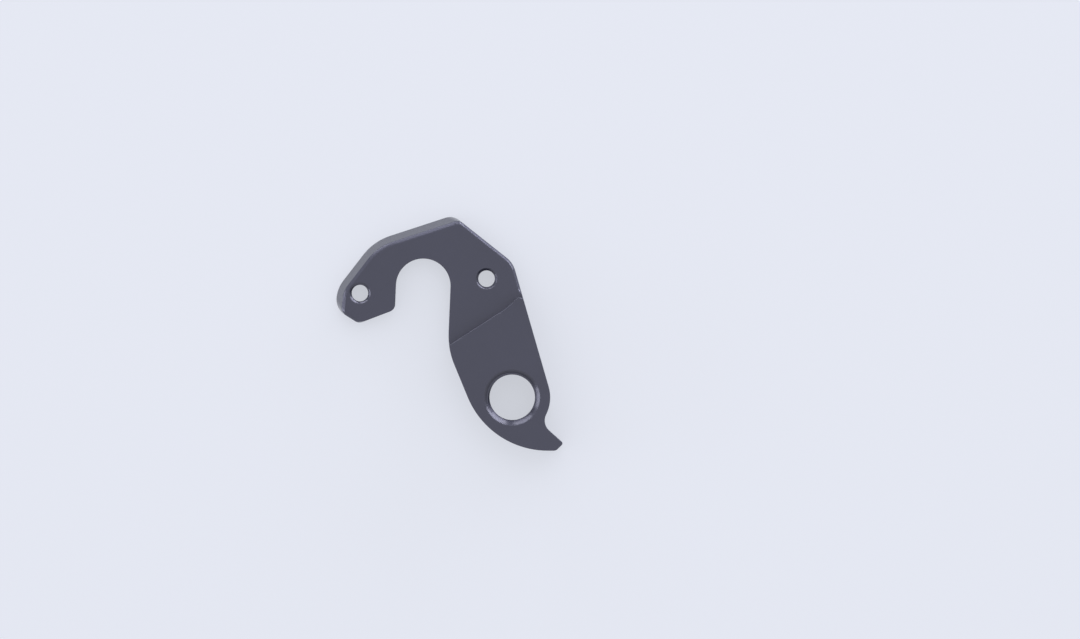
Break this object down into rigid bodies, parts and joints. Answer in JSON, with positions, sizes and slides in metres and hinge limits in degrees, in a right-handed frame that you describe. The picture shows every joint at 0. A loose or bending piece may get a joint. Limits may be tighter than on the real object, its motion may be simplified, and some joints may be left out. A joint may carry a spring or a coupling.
{
  "type": "bicycle derailleur hanger",
  "caption": "Flat curved metal hanger: a hooked plate that straddles a rear axle, stepped up to a thicker limb with a threaded hole and a claw for a rear derailleur.",
  "frame": {"origin": "where the axis of the derailleur thread meets the plane of the face that seats on the dropout", "axes": "+Z inboard along the thread's axis, towards the frame's dropout that the plate is bolted to; +Y up and +X to the rear of the bicycle"},
  "size_m": [0.0444, 0.0459, 0.008],
  "materials": {
    "anodised_aluminium": "dark grey anodised, fine machined satin"
  },
  "bodies": {
    "root": {"hanger": "anodised_aluminium"}
  },
  "joints": []
}
